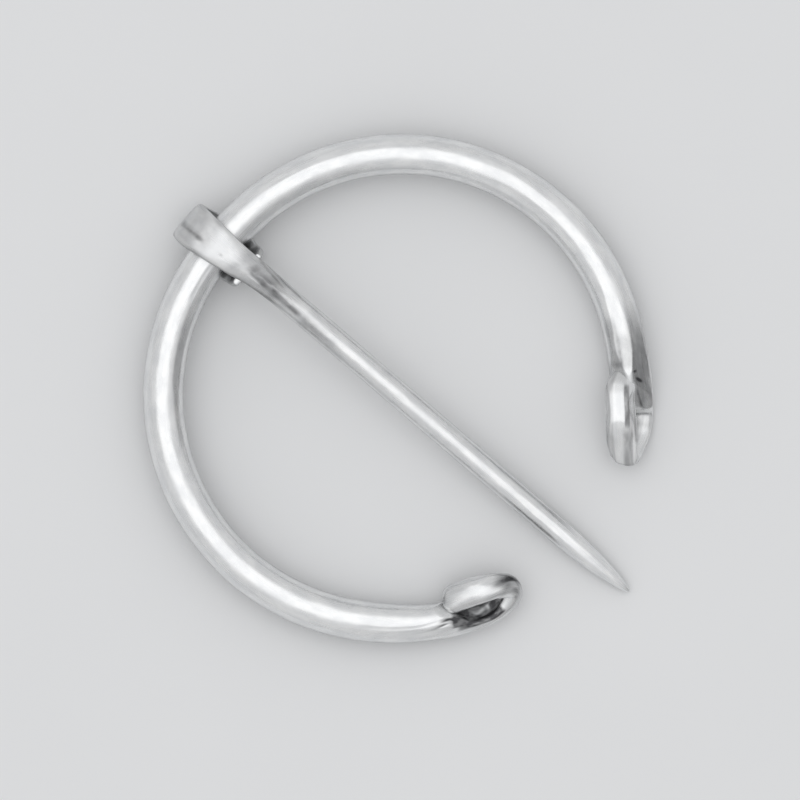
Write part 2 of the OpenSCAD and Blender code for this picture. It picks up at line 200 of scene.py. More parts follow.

# Tarnish in the hollows, painted shade and painted dark reflections: half, strength, start and end along it
# past the round wire, how far it fades in and out, the turns it lies between and how far it fades beyond them
STAINS_AND_SHADE = [
    (UPPER, 0.58, 0.5, 5.6, 3.5, 0.35, 104, 156, 12),
    (UPPER, 0.46, -0.4, 2.0, 2.2, 0.6, 36, 64, 12),
    (UPPER, 0.34, 0.5, 2.2, 1.2, 0.5, 68, 92, 9),
    (UPPER, 0.4, 2.35, 3.4, 0.9, 0.5, 10, 66, 12),
    (UPPER, 0.5, 4.3, 5.3, 0.5, 0.3, 74, 100, 8),
    (UPPER, 0.36, 6.3, 7.2, 0.3, 0.7, 10, 140, 12),
    (UPPER, 0.1, 7.5, 10, 0.5, 0.5, 10, 150, 14),
    (UPPER, 0.26, 12, 18, 2, 1, 10, 170, 14),
    (UPPER, 0.85, 13.6, 16.4, 0.6, 0.6, 242, 258, 6),
    (UPPER, 0.2, 16.4, 19, 0.7, 1, 255, 310, 12),
    (UPPER, 0.16, 8.5, 12.3, 0.8, 1.2, 190, 350, 14),
    (UPPER, 0.46, 10.0, 12.6, 0.9, 0.8, 228, 260, 11),
    (UPPER, 0.28, 8.5, 17.5, 1, 1, 302, 345, 12),
    (LOWER, 1.15, 4.8, 8.3, 0.7, 0.35, 10, 172, 9),
    (LOWER, 1.0, 8.2, 18, 0.5, 0.5, 10, 118, 9),
    (LOWER, 1.0, 4.1, 4.8, 0.35, 0.7, 94, 148, 7),
    (LOWER, 0.17, 13.9, 17, 1.2, 1, 215, 340, 14),
    (LOWER, 0.24, 9.0, 11.0, 0.8, 0.9, 190, 300, 16),
    (LOWER, 0.2, 11.5, 17, 1.0, 1, 175, 222, 12),
]
MOST_TARNISH_AND_SHADE = 1.25  # over 1 the palest blotches are black too

# Sizes of the pin, in millimetres and degrees

PIN_R = 1.025
PIN_LENGTH = 46.5
PIN_SLOPE = math.degrees(math.asin(-frame["record"]["mounts"][0]["axis"][2]))
POINT_LENGTH = 8.0
POINT_POWER = 0.65
POINT_STEPS = 60
TIP_R = 0.04
ROOT_R = 0.97 * PIN_R  # where the point begins
ROOT_TAPER = 5.0  # length over which the shank thins down to the root
SHANK_STEP = 0.25
SHANK_START = 0.2  # from the root to the shank's first ring
SHANK_SEED, SHANK_UNEVEN = 11, 0.004

# The eye that the head's strap makes round the wire, from the wire's middle to the middle of the strap
HEAD_T = 0.8  # thickness of the strap
HEAD_PLAY = 0.18  # between the strap and the wire
EYE_H = WIRE_R + HEAD_PLAY + HEAD_T / 2
EYE_OUTER = 3.1
EYE_INNER = 2.86
EYE_TOP_X, EYE_FOOT_X, EYE_FOOT_Z = 0.1, 0.7, 0.1
SHANK_DROP = 0.1  # from the strap's middle over the wire down to the shank's
SHANK_Z = EYE_H - SHANK_DROP
NECK_X = 8.6  # where the head begins
NECK_HALF = HEAD_T * 0.7  # half the neck's thickness over the strap's end
STRAP_GAP = 0.08  # between the strap's end and the neck
RISE_TOP_Z = EYE_H - NECK_HALF - STRAP_GAP
RISE_SHARE = 0.6  # share of the last stage in which the strap goes round the wire's inner side
STRAP_END_BULGE = 0.1

# Faint flats that long strokes left when the point was drawn out: the turn each faces, half the turn it
# takes up, and its start before the tip. They reach their full width over the stroke's growth.
STROKES = [(268, 15, 15), (205, 14, 9), (322, 17, 12)]
STROKE_GROWTH = 6
STROKE_REACH = 0.3  # least cosine of the angle from the facing at which a flat is looked for

# The head in stages: to 1 over the wire, to 2 round outside it, to 3 back under it, to 4 up to the neck.
# Stage, side of the middle, thickness, width, squareness of the side towards the wire and of the front
HEAD = [
    [0, 0, PIN_R * 2, PIN_R * 2, 2, 2],
    [0.12, 0, PIN_R * 1.96, PIN_R * 2, 2, 1.8],
    [0.4, -0.02, PIN_R * 1.56, PIN_R * 2.04, 2.1, 1.42],
    [0.62, -0.09, HEAD_T * 1.35, PIN_R * 2.24, 2.6, 1.45],
    [0.8, -0.26, HEAD_T * 1.08, PIN_R * 2.56, 3.6, 1.5],
    [1, -0.36, HEAD_T, PIN_R * 2.92, 5, 2.2],
    [1.3, -0.42, HEAD_T, PIN_R * 3.4, 5.5, 3.0],
    [1.55, -0.38, HEAD_T, PIN_R * 3.28, 5.5, 4],
    [2, -0.22, HEAD_T, PIN_R * 3.96, 5, 4.5],
    [3, -0.15, HEAD_T, PIN_R * 3.9, 4.5, 4.5],
    [3.45, -0.16, HEAD_T, PIN_R * 3.76, 4, 4],
    [3.8, -0.22, HEAD_T, PIN_R * 3.32, 3.6, 3.6],
    [4, -0.26, HEAD_T * 0.92, PIN_R * 3.0, 3, 3],
]
HEAD_RINGS = (90, 80, 12, 60)  # on each stage
NUDGE = 0.002  # of a stage, to find the way the strap heads
HEAD_FLOW = 8.5  # length of a stage in the finish

# Unevenness of the head: its size, the length that a stage counts for, the stages over which it sets in, and
# the share of it that the width takes
HEAD_SEED, HEAD_UNEVEN, HEAD_LENGTH = 17, 0.022, 5
HEAD_FROM = (0.5, 0.9)
WIDTH_SHARE = 0.6

# Marks that forging and bending left in the front of the head, each with its side and its width, then where
# it runs (start, end and fade) or lies (middle and length), and last its depth and the painted shade in it.
# The flute and the nick run down the neck, by x, and the nick drifts sideways by its slant. The crease and
# the dent lie in the bend, by stage, and the scratch lies over the wire, by x.
FLUTE_SIDE, FLUTE_WIDTH, FLUTE_RUN, FLUTE_LOOK = -0.4, 0.11, (3.6, 7.8, 0.7), (0.05, 0.36)
NICK_SIDE, NICK_WIDTH, NICK_RUN, NICK_LOOK = 1.55, 0.08, (3.3, 5.6, 0.6), (0.03, 0.36)
NICK_SLANT = -0.18
CREASE_SIDE, CREASE_WIDTH, CREASE_RUN, CREASE_LOOK = -0.43, 0.12, (1.19, 1.42, 0.07), (0.08, 0.56)
DENT_SIDE, DENT_WIDTH, DENT_LIES, DENT_LOOK = 0.35, 0.5, (1.2, 0.06), (0.05, 0)
SCRATCH_SIDE, SCRATCH_WIDTH, SCRATCH_LIES, SCRATCH_LOOK = -0.45, 0.07, (0.5, 0.13), (0.04, 0.26)

# Painted shade along the pin, which also dims the crown's highlight: its strength, then start, end and fade,
# and how it fades out where that differs. The bend, the crown and the edges are by stage, the others by x.
BEND = (0.36, 1.15, 1.42, 0.12)
CROWN = (0.11, 0.8, 1.1, 0.1)
EDGES = (0.3, 0.35, 1.45, 0.15)
NECK = (0.39, 2.3, 5.2, 1.3)
NECK_FOOT = (0.156, 5.8, 6.7, 1.6)
STRIP = (0.12, 8, 14, 6)
STRIP_TURN, STRIP_WIDTH = 230, 15
TROUGH = (0.46, 3.4, 9, 1.8, 5.5)
TROUGH_SIDE, TROUGH_SLANT, TROUGH_WIDTH = 0.216, -0.06, 0.3
# Painted shade along the upper edge and the lower one, which is darker: width, in cosine of the turn, and
# share of the strength
UPPER_EDGE, LOWER_EDGE = (0.03, 1), (0.06, 2)
# Painted shade on the strap's inside, which faces the wire: strength, the stages over which it sets in, and
# the sines of the turn
INSIDE, INSIDE_FROM, INSIDE_TURN = 0.68, (1.0, 1.2), (0.1, 0.7)
# The whole shank: strength, and the x between which it ends
SHANK_DULL, DULL_TO = 0.06, (32, 40)
# Sine of the turn by which the front has set in, on the head and on the shank
HEAD_FRONT, SHANK_FRONT = 0.5, 0.3


# Curves


def smooth_rows(table, keys):
    """Rows of a table at some keys, its first column being the key.

    Between two rows the value follows a cubic whose slope at a row is that between its neighbours.
    """
    table = np.asarray(table, float)
    before = np.clip(np.searchsorted(table[:, 0], keys, side="right") - 1, 0, len(table) - 2)
    a, b = table[before], table[before + 1]
    earlier, later = table[np.maximum(before - 1, 0)], table[np.minimum(before + 2, len(table) - 1)]
    run = (b - a)[:, :1]
    t = (np.asarray(keys)[:, None] - a[:, :1]) / run
    slope_a = (b - earlier) * run / (b - earlier)[:, :1]
    slope_b = (later - a) * run / (later - a)[:, :1]
    return (
        a * (2 * t**3 - 3 * t**2 + 1) + slope_a * (t**3 - 2 * t**2 + t)
        + b * (3 * t**2 - 2 * t**3) + slope_b * (t**3 - t**2)
    )


def ease(value, start, end):
    """0 before start and 1 after end, along three t squared less two t cubed between them."""
    t = np.clip((value - start) / (end - start), 0, 1)
    return t * t * (3 - 2 * t)


def between(value, start, end, soft, soft_out=None):
    """1 between start and end, easing to 0 over a soft distance before start and after end."""
    soft_out = soft if soft_out is None else soft_out
    return ease(value, start - soft, start) * (1 - ease(value, end, end + soft_out))


def spread(value, strength, start, end, soft, soft_out=None):
    """The strength between start and end, easing to 0 outside them."""
    return strength * between(value, start, end, soft, soft_out)


def bell(value, middle, width):
    """The bell curve: e to the minus half the square of the distance over the width."""
    return np.exp(-0.5 * ((value - middle) / width) ** 2)


def turned(degrees):
    """The unit vector at an angle: its cosine and its sine."""
    return np.array([math.cos(math.radians(degrees)), math.sin(math.radians(degrees))])


def off_from(turn, facing):
    """Degrees from the turn that a mark faces to a point's turn, brought between -180 and 180."""
    return (np.degrees(turn) - facing + 180) % 360 - 180


def section(turn, thick, wide, squareness):
    """A point on a section: half the width times the cosine of the turn and half the thickness times
    its sine, each with its size raised to 2 over the squareness. At 2 it is an ellipse, above it a
    bar with rounded corners, below it a ridge."""
    across, up = np.cos(turn), np.sin(turn)
    power = 2 / squareness
    return (
        wide / 2 * np.sign(across) * np.abs(across) ** power,
        thick / 2 * np.sign(up) * np.abs(up) ** power,
    )


def hammered(along, turn, seed, size):
    """Low unevenness of hammered metal: a sum of sines along the piece times cosines round it, with
    seeded phases and heights that grow as the root of the pitch, times the size over the usual sum."""
    chance = np.random.default_rng(seed)
    total = np.zeros(np.broadcast(along, turn).shape)
    for pitch in PITCHES:
        for rounds in ROUNDS:
            phase, other = chance.uniform(0, 2 * math.pi, 2)
            total += (
                chance.normal() * math.sqrt(pitch)
                * np.sin(2 * math.pi * along / pitch + phase) * np.cos(rounds * turn + other)
            )
    return size * total / USUAL_SUM


# Skins


def closed_skin(name, rings, marks):
    """A mesh through rings of points, closed at both ends on the middle of the end ring.

    Rings is an array of ring by point by xyz in millimetres. Marks holds one value a point for each
    named attribute, with a last axis of 3 where it is a vector. The attribute called up is the height
    of the point's normal.
    """
    count, around = rings.shape[:2]
    points = np.concatenate([rings.reshape(-1, 3), rings[[0, -1]].mean(axis=1)]) * MM
    row, k = np.meshgrid(np.arange(count - 1), np.arange(around), indexing="ij")
    here, beside = row * around + k, row * around + (k + 1) % around
    quads = np.stack([here, beside, beside + around, here + around], -1).reshape(-1, 4)
    k = np.arange(around)
    start = np.stack([np.full(around, count * around), (k + 1) % around, k], -1)
    last = (count - 1) * around
    end = np.stack([np.full(around, count * around + 1), last + k, last + (k + 1) % around], -1)
    loops = np.concatenate([quads.ravel(), start.ravel(), end.ravel()])
    sizes = np.concatenate([np.full(len(quads), 4), np.full(2 * around, 3)])
    mesh = bpy.data.meshes.new(name)
    mesh.vertices.add(len(points))
    mesh.vertices.foreach_set("co", points.astype(np.float32).ravel())
    mesh.loops.add(len(loops))
    mesh.loops.foreach_set("vertex_index", loops.astype(np.int32))
    mesh.polygons.add(len(sizes))
    mesh.polygons.foreach_set("loop_start", (np.cumsum(sizes) - sizes).astype(np.int32))
    mesh.update(calc_edges=True)
    mesh.polygons.foreach_set("use_smooth", np.ones(len(sizes), bool))
    normals = np.empty(len(points) * 3, np.float32)
    mesh.vertex_normals.foreach_get("vector", normals)
    mesh.attributes.new("up", "FLOAT", "POINT").data.foreach_set("value", normals[2::3].copy())
    for key, values in marks.items():
        vector = values.ndim == 3
        flat = values.reshape(-1, 3) if vector else values.reshape(-1)
        ends = np.stack([values[0].mean(axis=0), values[-1].mean(axis=0)])
        flat = np.concatenate([flat, ends]).astype(np.float32)
        layer = mesh.attributes.new(key, "FLOAT_VECTOR" if vector else "FLOAT", "POINT")
        layer.data.foreach_set("vector" if vector else "value", flat.ravel())
    piece = bpy.data.objects.new(name, mesh)
    bpy.context.scene.collection.objects.link(piece)
    return piece


def domed(rings, bulge, steps=8):
    """The rings with a dome on their last one: it shrinks by the cosine of a quarter turn while it
    moves on by the sine times the bulge."""
    middle = rings[-1].mean(axis=0)
    ahead = middle - rings[-2].mean(axis=0)
    ahead /= np.linalg.norm(ahead)
    turn = np.linspace(0, math.pi / 2, steps + 1)[1:-1, None, None]
    dome = middle + (rings[-1] - middle) * np.cos(turn) + ahead * bulge * np.sin(turn)
    return np.concatenate([rings, dome])


def level(values, rings):
    """The values with their last row repeated up to the number of rings."""
    return np.concatenate([values, np.repeat(values[-1:], len(rings) - len(values), axis=0)])


def flow_of(along, radius, turn):
    """What the finish follows: the length along the metal, then the radius times the cosine and the
    sine of the turn, as if the metal were one straight round wire."""
    return np.stack(np.broadcast_arrays(along, radius * np.cos(turn), radius * np.sin(turn)), -1)


def lay_down(points, slope):
    """Points about the wire's middle under the head, turned down towards +X by the slope and moved to
    the hinge."""
    ahead, up = turned(slope)
    x, y, z = points[..., 0], points[..., 1], points[..., 2]
    return HINGE + np.stack([x * ahead + z * up, y, z * ahead - x * up], -1)


# Hoop


def on_the_hoop(half, s, inward):
    """X and Y at a length s along a half from the head and a distance inward from the wire's outer
    line. The wire's middle follows three arcs that touch: the head bend, the hoop and the end."""
    hoop_r, hoop_sweep = half["hoop"]
    end_r = half["end"][0]
    head_end, hoop_end = 180 + half["head_sweep"], 180 + half["head_sweep"] + hoop_sweep
    head_s = HEAD_BEND_R * math.radians(half["head_sweep"])
    hoop_s = head_s + hoop_r * math.radians(hoop_sweep)
    head_c = np.array([HEAD_BEND_R, 0.0])
    hoop_c = head_c + (HEAD_BEND_R - hoop_r) * turned(head_end)
    end_c = hoop_c + (hoop_r - end_r) * turned(hoop_end)
    x, y = 0, 0
    for centre, r, start, s_from in (
        (head_c, HEAD_BEND_R, 180, 0),
        (hoop_c, hoop_r, head_end, head_s),
        (end_c, end_r, hoop_end, hoop_s),
    ):
        # the first arc also holds points that rounding puts a hair before the head
        on = (s >= s_from) | (s_from == 0)
        angle = np.radians(start) + (s - s_from) / r
        radius = r + WIRE_R - inward
        x = np.where(on, centre[0] + radius * np.cos(angle), x)
        y = np.where(on, centre[1] + radius * np.sin(angle), y)
    return x, -half["side"] * y


def wire_length(half):
    """Length along the wire from the head to where the rolled end begins."""
    return (
        HEAD_BEND_R * math.radians(half["head_sweep"])
        + half["hoop"][0] * math.radians(half["hoop"][1])
        + half["end"][0] * math.radians(half["end"][1])
    )


def half_path(half):
    """The middle of one half as rows of s, inward and z, with the section's thickness, width, squareness
    and lean, and the stage: 0 on the wire, then the length along the rolled end.

    Within the tip's round the section shrinks as the square root of one less the square of the way into
    it, and the steps get shorter with it.
    """
    length, first, tip = wire_length(half), half["rows"][0][0], half["rows"][-1][0]
    s = np.arange(0, length + first, WIRE_STEP)
    wire = np.repeat(np.array(half["rows"])[:1, 1:], len(s), axis=0)
    wire[:, 0] = s
    into = np.sin(np.linspace(0, math.pi / 2, TIP_STEPS)[1:])
    last = tip - half["tip_round"] * (1 - into)
    end = np.concatenate([np.arange(first, tip - half["tip_round"], END_STEP), last])
    rows = smooth_rows(half["rows"], end)[:, 1:]
    rows[:, 0] += length
    shrink = np.sqrt(np.maximum(1 - into**2, TIP_LEAST))[:, None]
    rows[-len(into):, 3:5] *= shrink
    return np.column_stack([np.concatenate([wire, rows]), np.concatenate([0 * s, np.maximum(end, 0)])])


def cut(across, up, facing, depth):
    """A flat on a section: points farther out towards the facing than the section's own reach less the
    depth are moved straight back onto that plane."""
    x, y = turned(facing)
    out = across * x + up * y
    over = np.maximum(out - (out.max(axis=1, keepdims=True) - depth), 0)
    return across - over * x, up - over * y


def scored(half, along, turn):
    """Depth of the drawn lines and the crevices, and the tarnish and painted shade in the crevices: each is
    a bell curve round the section, times a span along it for a line and a second bell curve for a crevice."""
    depth, dark = 0 * (along + turn), 0 * (along + turn)
    for where, start, end, fade, facing, width, deep in LINES:
        if where is half:
            depth += deep * between(along, start, end, fade) * bell(off_from(turn, facing), 0, width)
    for where, place, facing, size, width, slant, deep, strength in CREVICES:
        if where is half:
            off = off_from(turn, facing + slant * (along - place))
            spot = bell(along, place, size) * bell(off, 0, width)
            depth, dark = depth + deep * spot, dark + strength * spot
    return depth, dark


def stained_and_shaded(half, past, turn):
    """Tarnish and painted shade at a length past the round wire and a turn: the sum of the spans, each its
    strength times a span along the metal and a span round it."""
    dark = 0 * (past + turn)
    for where, strength, start, end, fade_in, fade_out, turn_from, turn_to, soft in STAINS_AND_SHADE:
        if where is half:
            span = spread(past, strength, start, end, fade_in, fade_out)
            dark += span * between(np.degrees(turn), turn_from, turn_to, soft)
    return dark


def set_square(middle, lean, across, up):
    """Points of sections set square to the path through their middles.

    The width's direction is the cosine of the lean inward and its sine down, less its part along the
    path, and the thickness's direction is square to both.
    """
    ahead = np.gradient(middle, axis=0)
    ahead /= np.linalg.norm(ahead, axis=1, keepdims=True)
    lean = np.radians(lean)
    sideways = np.concatenate([0 * lean, np.cos(lean), -np.sin(lean)], axis=1)
    sideways -= ahead * (sideways * ahead).sum(axis=1, keepdims=True)
    sideways /= np.linalg.norm(sideways, axis=1, keepdims=True)
    inside = np.cross(ahead, sideways)
    return middle[:, None] + across[..., None] * sideways[:, None] + up[..., None] * inside[:, None]


def faced(half, points, along, stage):
    """The points moved straight back onto the planes of the faces that they lie beyond, and on the
    upper roll back by the square of the distance past the brow over that distance and its softness."""
    for where, places, facing, depths in FACES:
        if where is half:
            normal = np.array([0, *turned(facing)])
            held = np.clip(along[:, 0], places[0], places[-1])
            depth = smooth_rows(np.column_stack([places, depths]), held)[:, 1:]
            over = np.maximum((points - [0, WIRE_R, WIRE_R]) @ normal - (WIRE_R - depth), 0)
            points = points - (over * (1 - ease(stage, *FACES_END)))[..., None] * normal
    if half is UPPER:
        level_part, tilted_part = turned(BROW_TILT)
        normal = np.array([tilted_part, 0, level_part])
        over = np.maximum((points - [wire_length(half) + BROW_AT, 0, BROW_HEIGHT]) @ normal, 0)
        over *= over / (over + BROW_SOFT) * ease(stage, *BROW_FROM)
        points = points - over[..., None] * normal
    return points


def hoop_half(half):
    """Rings of one half from the head to the end of its strap, with the tarnish and painted shade, and the
    flow, at each point.

    Each ring is the section set square to the path, its width leaning over by the lean. Turns from 0 to
    180 face into the loop where the strap has come round.
    """
    path = half_path(half)
    turn = 2 * math.pi * np.arange(AROUND)[None, :] / AROUND
    middle = path[:, :3]
    thick, wide, square, lean, stage = (path[:, i, None] for i in range(3, 8))
    along = np.concatenate([[0], np.cumsum(np.linalg.norm(np.diff(middle, axis=0), axis=1))])[:, None]

    across, up = section(turn, thick, wide, square)
    uneven = WIRE_UNEVEN + (STRAP_UNEVEN - WIRE_UNEVEN) * ease(stage, *STRAP_FROM)
    uneven = 1 + hammered(along * half["side"], turn, HOOP_SEED, 1) * uneven
    across, up = across * uneven, up * uneven
    up *= 1 + half["swell"] * bell(stage, SWELL_AT, SWELL_WIDTH) * (up < 0)
    for where, start, end, fade_in, fade_out, facing, depth in FLATS:
        if where is half:
            across, up = cut(across, up, facing, depth * between(along, start, end, fade_in, fade_out))
    depth, dark = scored(half, along, turn)
    across, up = across - depth * np.cos(turn), up - depth * np.sin(turn)

    points = faced(half, set_square(middle, lean, across, up), along, stage)
    x, y = on_the_hoop(half, points[..., 0], points[..., 1])
    # tarnish with painted shade and painted dark reflections, from the crevices and the spans
    dark = np.clip(dark + stained_and_shaded(half, along - wire_length(half), turn), 0, MOST_TARNISH_AND_SHADE)
    return np.stack([x, y, points[..., 2]], -1), dark, flow_of(along * half["side"], WIRE_R, turn)


def make_hoop():
    """The upper half back from its end to the head, and the lower half on from there, as one skin."""
    upper, lower = hoop_half(UPPER), hoop_half(LOWER)
    rings, dark, flow = (np.concatenate([a[:0:-1], b]) for a, b in zip(upper, lower))
    rings = lay_down(rings - [0, 0, WIRE_R], HOOP_SLOPE)
    return closed_skin("silver_hoop", rings, {"tarnish_and_shade": dark, "flow": flow})


# Pin


def make_shank(turn):
    """Rings of the point and the shank from the tip to the neck, and the x of each.

    With the share of the way from the point's root to its tip, the point's radius is that of the root
    times one less the share squared to the power, plus the tip's times the share.
    """
    tip_x = PIN_LENGTH - EYE_OUTER - HEAD_T / 2
    root_x = tip_x - POINT_LENGTH
    share = np.sin(np.linspace(math.pi / 2, 0, POINT_STEPS))[:, None]
    point_r = ROOT_R * (1 - share**2) ** POINT_POWER + TIP_R * share
    shank_x = np.arange(root_x - SHANK_START, NECK_X, -SHANK_STEP)[:, None]
    shank_r = PIN_R + (ROOT_R - PIN_R) * ease(shank_x, root_x - ROOT_TAPER, root_x)
    x = np.concatenate([root_x + POINT_LENGTH * share, shank_x])
    round_r = np.concatenate([point_r, shank_r])
    r = round_r * (1 + hammered(x, turn, SHANK_SEED, SHANK_UNEVEN))
    for facing, half_turn, before_tip in STROKES:
        start = tip_x - before_tip
        off = np.cos(turn - math.radians(facing))
        half_now = math.radians(half_turn) * ease(x, start, start + STROKE_GROWTH)
        flat = round_r * np.cos(half_now) / np.maximum(off, STROKE_REACH)
        r = np.where(off > STROKE_REACH, np.minimum(r, flat), r)
    return np.stack([x + 0 * turn, r * np.cos(turn), SHANK_Z - r * np.sin(turn)], -1), x


def head_middle(stage):
    """X and z of the strap's middle. Up to stage 1 it runs from the shank over the wire, to 2 round a
    half ellipse outside it, to 3 straight back under it and to 4 up to the neck's underside."""
    share = np.clip(stage, 0, 1)
    x = NECK_X + (EYE_TOP_X - NECK_X) * share
    z = SHANK_Z + (EYE_H - SHANK_Z) * ease(share, 0, 1)
    turn = np.pi * (0.5 + np.clip(stage - 1, 0, 1))
    x = np.where(stage > 1, EYE_TOP_X + (EYE_OUTER + EYE_TOP_X) * np.cos(turn), x)
    z = np.where(stage > 1, EYE_H * np.sin(turn), z)
    x = np.where(stage > 2, EYE_TOP_X + (EYE_FOOT_X - EYE_TOP_X) * (stage - 2), x)
    z = np.where(stage > 2, -EYE_H, z)
    turn = np.pi / 2 * (np.clip((stage - 3) / RISE_SHARE, 0, 1) - 1)
    on = np.clip((stage - 3 - RISE_SHARE) / (1 - RISE_SHARE), 0, 1)
    x = np.where(stage > 3, EYE_FOOT_X + (EYE_INNER - EYE_FOOT_X) * np.cos(turn), x)
    z = np.where(stage > 3, -EYE_FOOT_Z + (EYE_H - EYE_FOOT_Z) * np.sin(turn), z)
    z = np.where(on > 0, -EYE_FOOT_Z + (RISE_TOP_Z + EYE_FOOT_Z) * on, z)
    return x, z


def head_marks(x, stage, side, across):
    """Depth and painted shade of the marks in the front of the strap, each added up over the marks.

    A mark is a bell curve across the strap times a span or a bell curve along it. On the neck the bell
    stands at a side of the pin, and round the wire at a side of the strap's own middle.
    """
    flute = bell(side + across, FLUTE_SIDE, FLUTE_WIDTH) * between(x, *FLUTE_RUN)
    nick = bell(side + across, NICK_SIDE + NICK_SLANT * x, NICK_WIDTH) * between(x, *NICK_RUN)
    crease = bell(across, CREASE_SIDE, CREASE_WIDTH) * between(stage, *CREASE_RUN)
    dent = bell(across, DENT_SIDE, DENT_WIDTH) * bell(stage, *DENT_LIES)
    scratch = bell(across, SCRATCH_SIDE, SCRATCH_WIDTH) * bell(x, *SCRATCH_LIES) * (stage < 1)
    marks = (flute, nick, crease, dent, scratch)
    looks = (FLUTE_LOOK, NICK_LOOK, CREASE_LOOK, DENT_LOOK, SCRATCH_LOOK)
    return tuple(sum(look[i] * mark for mark, look in zip(marks, looks)) for i in range(2))


def trough(x, side):
    """Painted shade that starts on the neck and slants down over the start of the shank: a bell curve
    about a side that drifts with x, times a span along the pin."""
    return spread(x, *TROUGH) * bell(side, TROUGH_SIDE + TROUGH_SLANT * x, TROUGH_WIDTH)


def facing_out(turn, soft):
    """1 on the front and 0 on the side towards the wire, easing over a soft part of the turn's sine."""
    return ease(-np.sin(turn), 0, soft)


def make_head(turn):
    """Rings of the head from the neck round the wire to the strap's end, their stage and painted shade.

    Each ring is the section set square to the middle's path, moved to its side, with the marks in its
    front. The painted shade adds up the spans along the head, the edges and the inside of the strap.
    """
    stage = np.concatenate([np.linspace(i, i + 1, rings)[:-1] for i, rings in enumerate(HEAD_RINGS)])
    stage = np.append(stage[1:], len(HEAD_RINGS))
    rows = smooth_rows(HEAD, stage)
    side, thick, wide, square, front_square = (rows[:, i, None] for i in range(1, 6))
    before_x, before_z = head_middle(np.maximum(stage - NUDGE, 0))
    after_x, after_z = head_middle(np.minimum(stage + NUDGE, len(HEAD_RINGS)))
    heading = np.arctan2(after_z - before_z, after_x - before_x)[:, None]
    x, z = (value[:, None] for value in head_middle(stage))
    stage = stage[:, None]

    across, up = section(turn, thick, wide, np.where(np.sin(turn) < 0, front_square, square))
    depth, marked = head_marks(x, stage, side, across)
    front = facing_out(turn, HEAD_FRONT)
    uneven = hammered(stage * HEAD_LENGTH, turn, HEAD_SEED, HEAD_UNEVEN) * ease(stage, *HEAD_FROM)
    up = up * (1 + uneven) + depth * front
    across = side + across * (1 + WIDTH_SHARE * uneven)
    rings = np.stack([x - up * np.sin(heading), across, z + up * np.cos(heading)], -1)

    # painted shade of the marks, the bend, the crown, the neck and the trough, on the front only
    dark = marked + spread(stage, *BEND) + spread(stage, *CROWN) + spread(x, *NECK) + spread(x, *NECK_FOOT)
    dark = (dark + trough(x, across) * (stage <= 1)) * front
    for where, (width, share) in ((1, UPPER_EDGE), (-1, LOWER_EDGE)):
        dark = dark + share * spread(stage, *EDGES) * bell(np.cos(turn), where, width)
    dark = dark + INSIDE * ease(stage, *INSIDE_FROM) * ease(np.sin(turn), *INSIDE_TURN)
    return rings, stage, dark


def make_pin():
    """The pin from its point along the shank and round the head to the end of its strap.

    Sections stand across the heading. On the head the side that faces the wire has turns from 0 to
    180, and on the shank those turns face down.
    """
    turn = 2 * math.pi * np.arange(AROUND)[None, :] / AROUND
    shank, x = make_shank(turn)
    head, stage, head_dark = make_head(turn)
    # the shank is a little duller than the wire, with a strip of painted shade on its lower side next to the
    # head
    strip = spread(x, *STRIP) * bell(np.degrees(turn), STRIP_TURN, STRIP_WIDTH)
    shank_dark = SHANK_DULL * (1 - ease(x, *DULL_TO)) + strip
    shank_dark = shank_dark + trough(x, shank[..., 1]) * facing_out(turn, SHANK_FRONT)
    rings = domed(np.concatenate([shank, head]), STRAP_END_BULGE)
    dark = np.clip(np.concatenate([shank_dark, head_dark]), 0, 1)
    flow = flow_of(np.concatenate([x, NECK_X - stage * HEAD_FLOW]), PIN_R, -turn)
    marks = {"tarnish_and_shade": level(dark, rings), "flow": level(flow, rings)}
    return closed_skin("silver_pin", lay_down(rings, PIN_SLOPE), marks)


# Finish

DULL_SILVER = (0.80, 0.808, 0.815, 1)
BRIGHT_SILVER = (0.895, 0.899, 0.897, 1)
# the dark that the tarnish and the painted shade mix the silver towards
DARK_TARNISH_AND_SHADE = (0.09, 0.09, 0.094, 1)

# Noises on the metal: how much each is drawn out along the piece, its scale and its detail
PLANISHING = (0.55, 0.55, 2)
POLISH = (0.1, 2.2, 4)
SCRATCHES = (0.07, 11.0, 3)
CLOUDS = (0.42, 1.5, 5)
BLOTCHES = (0.7, 1.5, 4)
FINE_SHARE = 0.55  # how much of each is in its finer steps

# Height of each in the surface, in millimetres
PLANISHING_H, POLISH_H, SCRATCHES_H = 0.05, 0.007, 0.0014

# What the noises and the height of the facing become: from, to, and the values there
PATCHY = (0.3, 0.7, 0.62, 0.975)  # share of the tarnish and painted shade that stays in the blotches
CLOUDY = (0.32, 0.66, 0, 1)  # share of bright silver in the clouds
STREAKED = (0.3, 0.6, 0.95, 1.0)  # brightness of the polish's strokes
SIDE_SHADE = (-0.05, 0.5, 0.6, 1.0)  # painted shade: brightness from the underside to the top, by the height of the normal as the piece lies
SATIN = (0.3, 0.7, 0.23, 0.33)  # roughness of the polish's strokes
TARNISH_AND_SHADE_ROUGH = 0.04  # roughness that the tarnish and painted shade add


def node(tree, kind, place, *inputs, **values):
    """A new shader node. Its inputs are given in order or by name, each as a plain value or the output
    that feeds it, and its own settings by name."""
    new = tree.nodes.new(kind)
    new.location = place
    given = dict(enumerate(inputs))
    for key, value in values.items():
        if hasattr(new, key):
            setattr(new, key, value)
        else:
            given[key.replace("_", " ")] = value
    for key, value in given.items():
        if isinstance(value, bpy.types.NodeSocket):
            tree.links.new(value, new.inputs[key])
        else:
            new.inputs[key].default_value = value
    return new


